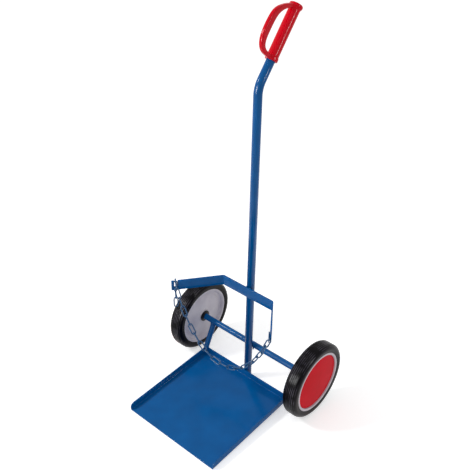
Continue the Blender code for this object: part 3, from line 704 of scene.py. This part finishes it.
# The grooves start and stop over two thirds of a millimetre.
groove_end = 1 / 1500
band = add_node(
    tread_tree, "ShaderNodeMapRange", None, {"Value": inside_band.outputs[0], "From Max": groove_end}
)
above_floor = add_node(
    tread_tree, "ShaderNodeMath", {"operation": "SUBTRACT"},
    {0: distance.outputs["Value"], 1: tread_in["Floor"]},
)
tread_side = add_node(
    tread_tree, "ShaderNodeMapRange", None, {"Value": above_floor.outputs[0], "From Max": groove_end}
)
both = add_node(
    tread_tree, "ShaderNodeMath", {"operation": "MULTIPLY"}, {0: band.outputs[0], 1: tread_side.outputs[0]}
)
share = add_node(
    tread_tree, "ShaderNodeMath", {"operation": "MULTIPLY"}, {0: groove.outputs[0], 1: both.outputs[0]}
)
sink = add_node(
    tread_tree, "ShaderNodeMath", {"operation": "MULTIPLY"}, {0: share.outputs[0], 1: tread_in["Depth"]}
)
inward = add_node(tread_tree, "ShaderNodeMath", {"operation": "MULTIPLY"}, {0: sink.outputs[0], 1: -1.0})
shift = add_node(
    tread_tree, "ShaderNodeVectorMath", {"operation": "SCALE"},
    {0: outward.outputs[0], "Scale": inward.outputs[0]},
)
sunk = add_node(
    tread_tree, "GeometryNodeSetPosition", None,
    {"Geometry": tread_in["Geometry"], "Offset": shift.outputs[0]},
)
end_group(tread_tree, sunk.outputs[0], tread_in["Material"])

rim_gap = 0.0002
lip_round = 0.0015
flat = half_tyre_width - shoulder
tyre_section = [(rim_radius + rim_gap, half_tyre_width - lip_round)]
for i in range(45):
    a = math.radians(90 - 90 * i / 44)
    r = tyre_radius - shoulder + shoulder * math.cos(a)
    tyre_section.append((r, flat + shoulder * math.sin(a)))
tyre_section += [(tyre_radius, flat - 2 * flat * i / 44) for i in range(1, 44)]
tyre_section += [(r, -h) for r, h in reversed(tyre_section[1:46])]
tyre_section += [(rim_radius + rim_gap, lip_round - half_tyre_width)]
for side, word in ((-1, "left"), (1, "right")):
    centre = Vector((side * wheel_x, axle_y, axle_z))
    smooth_tyre = turned(word + "_rubber_tyre", tyre_section, centre, side, steps=144)
    tyre_mesh = run_tree(
        word + "_rubber_tyre", tread_tree, smooth_tyre, rubber,
        Centre=centre, Pitch=groove_pitch, Depth=0.0018, HalfBand=0.0208, Floor=0.112,
    )
    edge_smooth(tyre_mesh, 70)
    tyre = new_piece(word + "_rubber_tyre", tyre_mesh, rubber)
    fit_piece(tyre, "wheel_" + word, "tyre_rubber", word + "_tyre")

# ---- Rims -----------------------------------------------------------------------------------------
# Pale grey moulded nylon: a ring under the tyre, a dished web with a moulded step, and a hub that
# holds the bushes. The ring's edge stays in sight round the hub cap.

# Glass-filled nylon: satin, slightly cloudy where the melt flowed. The mould's skin is about 0.4 mm
# across and is drawn at 1.4 mm, so that it shows.
nylon = new_finish(
    "moulded_grey_nylon", "#C6C0CA", "#D6D1D8", blotch=(0.045, 3), rough=0.42, gloss=0.3,
    skin=(0.0014, 2, 0.12, 0.0003),
)

hub_radius = 0.024
bush_bore = 0.01405
rim_section = [
    (0.0994, 0.0230), (0.0999, 0.0225), (0.0999, -0.0225), (0.0994, -0.0230), (0.0946, -0.0230),
    (0.0938, -0.0222), (0.0914, -0.0165), (0.0896, -0.0128), (0.0870, -0.0116), (0.0800, -0.0122),
    (0.0788, -0.0128), (0.0778, -0.0140), (0.0766, -0.0145), (0.0300, -0.0170), (0.0262, -0.0180),
    (0.0246, -0.0190), (hub_radius, -0.0208), (hub_radius - 0.0006, -0.0215), (bush_bore, -0.0215),
    (bush_bore, 0.0040), (hub_radius, 0.0040), (0.0262, -0.0100), (0.0870, -0.0050), (0.0884, -0.0040),
    (0.0884, 0.0163), (0.0925, 0.0165), (0.0925, 0.0222), (0.0932, 0.0230),
]
for side, word in ((-1, "left"), (1, "right")):
    centre = Vector((side * wheel_x, axle_y, axle_z))
    rim_mesh = turned(word + "_nylon_rim", rim_section, centre, side, steps=128)
    rim = new_piece(word + "_nylon_rim", rim_mesh, nylon)
    fit_piece(rim, "wheel_" + word, "rim_plastic", word + "_rim")

# ---- Hub caps -------------------------------------------------------------------------------------
# A thin red plastic disc, slightly crowned, that snaps into the rim's recess and hides the axle end.

# Polypropylene: even bright red with a satin surface. The mould's texture is about 0.4 mm across and
# is drawn at 1.3 mm, so that it shows.
cap_finish = new_finish(
    "moulded_red_polypropylene", "#D00018", "#DC0020", blotch=(0.040, 2), rough=0.35, gloss=0.03,
    skin=(0.0013, 2, 0.14, 0.0003),
)

cap_radius = 0.0922
cap_section = [
    (0.0, 0.0213), (0.020, 0.0212), (0.045, 0.0208), (0.070, 0.0201), (0.0860, 0.0195), (0.0895, 0.0193),
    (0.0912, 0.0189), (cap_radius, 0.0180), (cap_radius, 0.0168), (0.0, 0.0168),
]
for side, word in ((-1, "left"), (1, "right")):
    centre = Vector((side * wheel_x, axle_y, axle_z))
    cap_mesh = turned(word + "_red_cap", cap_section, centre, side, steps=128, closed=False)
    cap = new_piece(word + "_red_cap", cap_mesh, cap_finish)
    fit_piece(cap, "wheel_" + word, "cap_plastic", word + "_hub_cap")

# ---- Bushes, washers and clips --------------------------------------------------------------------
# Two flanged black bushes run on the axle in each hub. A washer and a spring steel clip in a groove
# hold each side, plated on the outer side and blackened on the inner, so the wheel can't walk.

# Acetal, turned and left as it is: dense black, smooth and slightly waxy.
bush_finish = new_finish("black_acetal", "#0C0C0E", "#17171A", blotch=(0.010, 2), rough=0.38)

# Zinc plate over rolled steel: silver with a patchy, slightly yellow passivation.
zinc_finish = new_finish(
    "bright_zinc_plate", "#B9B7AE", "#CDD0D2", blotch=(0.006, 3), rough=(0.002, 3, 0.24, 0.42)
)
zinc_finish.node_tree.nodes["Principled BSDF"].inputs["Metallic"].default_value = 1.0

# Heat-blackened and oiled steel, on the inner side: a dull black with a faint metal sheen.
black_finish = new_finish(
    "blackened_spring_steel", "#101013", "#1C1C20", blotch=(0.005, 3), rough=0.42, gloss=0.3
)

fixing_finishes = {"outer": zinc_finish, "inner": black_finish}
for name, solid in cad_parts.items():
    side_of_hub, kind = (["", ""] + name.split("_"))[-2:]
    if kind in ("bush", "washer", "clip"):
        solid.data.materials.clear()
        solid.data.materials.append(bush_finish if kind == "bush" else fixing_finishes[side_of_hub])

# ---- Safety chain ---------------------------------------------------------------------------------
# Long-link welded chain of 4 mm wire, dipped in the same blue. One end link is welded inside the short
# arm, the chain sags across the front of the cradle, and the link in the notch leaves three spare.

# Dipped paint on wire: darker than the frame, thin on the outsides of the bends where steel shows.
chain_finish = new_finish(
    "dipped_blue_chain", "#0A3A66", "#1B5C8C", blotch=(0.005, 3), rough=(0.003, 2, 0.24, 0.42), gloss=0.3,
    span=(0.35, 0.65),
)

link_tree, link_in = node_group(
    "Chain links", Length="Float", Width="Float", Wire="Float", Material="Material"
)
link_middle = add_node(
    link_tree, "ShaderNodeMath", {"operation": "SUBTRACT"}, {0: link_in["Length"], 1: link_in["Wire"]}
)
link_across = add_node(
    link_tree, "ShaderNodeMath", {"operation": "SUBTRACT"}, {0: link_in["Width"], 1: link_in["Wire"]}
)
link_bend = add_node(
    link_tree, "ShaderNodeMath", {"operation": "MULTIPLY"}, {0: link_across.outputs[0], 1: 0.4999}
)
wire_radius = add_node(
    link_tree, "ShaderNodeMath", {"operation": "MULTIPLY"}, {0: link_in["Wire"], 1: 0.5}
)
link_outline = add_node(
    link_tree, "GeometryNodeCurvePrimitiveQuadrilateral", None,
    {"Width": link_middle.outputs[0], "Height": link_across.outputs[0]},
)
link_loop = add_node(
    link_tree, "GeometryNodeFilletCurve", {"mode": "POLY"},
    {"Curve": link_outline.outputs[0], "Count": 7, "Radius": link_bend.outputs[0]},
)
wire_round = add_node(
    link_tree, "GeometryNodeCurvePrimitiveCircle", None, {"Resolution": 14, "Radius": wire_radius.outputs[0]}
)
link_skin = add_node(
    link_tree, "GeometryNodeCurveToMesh", None,
    {"Curve": link_loop.outputs[0], "Profile Curve": wire_round.outputs[0]},
)
along_axis = add_node(
    link_tree, "GeometryNodeInputNamedAttribute", {"data_type": "FLOAT_VECTOR"}, {"Name": "along"}
)
face_axis = add_node(
    link_tree, "GeometryNodeInputNamedAttribute", {"data_type": "FLOAT_VECTOR"}, {"Name": "facing"}
)
link_turn = add_node(
    link_tree, "FunctionNodeAxesToRotation", {"primary_axis": "X", "secondary_axis": "Z"},
    {"Primary Axis": along_axis.outputs["Attribute"], "Secondary Axis": face_axis.outputs["Attribute"]},
)
link_spots = add_node(link_tree, "GeometryNodeMeshToPoints", None, {"Mesh": link_in["Geometry"]})
link_row = add_node(
    link_tree, "GeometryNodeInstanceOnPoints", None,
    {
        "Points": link_spots.outputs[0], "Instance": link_skin.outputs[0],
        "Rotation": link_turn.outputs[0],
    },
)
end_group(link_tree, link_row.outputs[0], link_in["Material"])

chain_runs = {
    "safety_chain": ("chain", ["chain_link_{:02d}".format(i + 1) for i in range(18)]),
    "spare_links": ("chain_tail", ["chain_tail_link_{}".format(i + 1) for i in range(3)]),
    "end_links": ("frame", ["chain_notch_link", "chain_eye_link"]),
}
for name, (body, nodes) in chain_runs.items():
    spots = bpy.data.meshes.new(name + "_spots")
    places = []
    alongs = []
    facings = []
    for node in nodes:
        # A link's own shape tells how it lies: longest along its length, thinnest across its flat side.
        cloud = np.array([vertex.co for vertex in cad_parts[node].data.vertices])
        middle = (cloud.min(0) + cloud.max(0)) / 2
        spread = np.linalg.eigh(np.cov((cloud - middle).T))[1]
        places.append(middle)
        alongs.append(spread[:, 2])
        facings.append(spread[:, 0])
    spots.from_pydata([tuple(place) for place in places], [], [])
    for label, rows in (("along", alongs), ("facing", facings)):
        layer = spots.attributes.new(label, "FLOAT_VECTOR", "POINT")
        layer.data.foreach_set("vector", np.array(rows, dtype=float).ravel())
    run_mesh = run_tree(name, link_tree, spots, chain_finish, Length=0.040, Width=0.016, Wire=0.004)
    run_mesh.shade_smooth()
    run = new_piece(name, run_mesh, chain_finish)
    fit_piece(run, body, "chain_paint", *nodes)

# ---- Floor, light and camera ----------------------------------------------------------------------
# A plain white studio: a matt floor that keeps the shadow, a soft key light from the upper left, two
# upright panels that only draw the highlights, and an even white surround.


def showing_rays(tree):
    """1 where the camera sees a surface, straight or by reflection or through glass."""
    rays = add_node(tree, "ShaderNodeLightPath").outputs
    first = {0: rays["Is Camera Ray"], 1: rays["Is Glossy Ray"]}
    seen = add_node(tree, "ShaderNodeMath", {"operation": "MAXIMUM"}, first).outputs[0]
    second = {0: seen, 1: rays["Is Transmission Ray"]}
    return add_node(tree, "ShaderNodeMath", {"operation": "MAXIMUM"}, second).outputs[0]


# Matt white board: it is lifted to white where it is seen, and the shadows stay a little darker.
floor_finish = new_finish(
    "white_studio_floor", "#F4F4F4", "#F8F8F8", blotch=(0.9, 2), rough=0.9, gloss=0.0
)
floor_tree = floor_finish.node_tree
floor_shader = floor_tree.nodes["Principled BSDF"]
lift = add_node(
    floor_tree, "ShaderNodeMath", {"operation": "MULTIPLY"}, {0: showing_rays(floor_tree), 1: 0.52}
)
floor_tone = floor_shader.inputs["Base Color"].links[0].from_socket
floor_tree.links.new(floor_tone, floor_shader.inputs["Emission Color"])
floor_tree.links.new(lift.outputs[0], floor_shader.inputs["Emission Strength"])
floor_mesh = bpy.data.meshes.new("studio_floor")
floor_reach, floor_z = 14.0, -0.0005
corners = [(floor_reach * x, floor_reach * y, floor_z) for x, y in ((-1, -1), (1, -1), (1, 1), (-1, 1))]
floor_mesh.from_pydata(corners, [], [(0, 1, 2, 3)])
studio_floor = new_piece("studio_floor", floor_mesh, floor_finish)

world = bpy.data.worlds.new("studio_surround")
bpy.context.scene.world = world
world.use_nodes = True
surround = world.node_tree
surround.nodes.clear()
soft = add_node(surround, "ShaderNodeBackground", None, {"Color": (1, 1, 1, 1), "Strength": 0.62})
white = add_node(surround, "ShaderNodeBackground", None, {"Color": (1, 1, 1, 1), "Strength": 1.0})
choice = add_node(
    surround, "ShaderNodeMixShader", None,
    {0: showing_rays(surround), 1: soft.outputs[0], 2: white.outputs[0]},
)
sky = surround.nodes.new("ShaderNodeOutputWorld")
surround.links.new(choice.outputs[0], sky.inputs["Surface"])

aim = Vector((0, 0, 0.60))
# Each lamp: its name, place, width, height, watts, and whether it lights matt surfaces too.
lamps = (
    ("key", Vector((-1.9, -1.9, 2.6)), 0.50, 0.50, 52, True),
    ("strip", Vector((-0.70, -2.90, 1.30)), 0.90, 1.30, 200, False),
    ("side", Vector((2.5, 0.5, 1.60)), 0.25, 0.80, 32, False),
)
for name, place, width, height, power, lights_matt in lamps:
    lamp = bpy.data.lights.new(name, "AREA")
    lamp.shape = "RECTANGLE"
    lamp.size = width
    lamp.size_y = height
    lamp.energy = power
    holder = bpy.data.objects.new(name, lamp)
    holder.location = place
    holder.rotation_euler = (aim - place).to_track_quat("-Z", "Y").to_euler()
    holder.visible_diffuse = lights_matt
    bpy.context.scene.collection.objects.link(holder)

camera = bpy.data.cameras.new("camera")
camera.lens = 56.25
camera.sensor_width = 36
camera.clip_start = 0.05
camera.clip_end = 60
viewer = bpy.data.objects.new("camera", camera)
camera_place = Vector((1.1249, axle_y - 1.4263, 1.7342))
azimuth, elevation, roll = (math.radians(a) for a in (40.36, 33.15, 1.23))
level = math.cos(elevation)
back = Vector((math.sin(azimuth) * level, -math.cos(azimuth) * level, math.sin(elevation)))
right = (-back).cross(Vector((0, 0, 1))).normalized()
up = right.cross(-back)
tipped_right = right * math.cos(roll) + up * math.sin(roll)
tipped_up = up * math.cos(roll) - right * math.sin(roll)
turn = Matrix((tipped_right, tipped_up, back)).transposed().to_4x4()
viewer.matrix_world = Matrix.Translation(camera_place) @ turn
bpy.context.scene.collection.objects.link(viewer)
bpy.context.scene.camera = viewer
bpy.context.scene.view_settings.view_transform = "Standard"
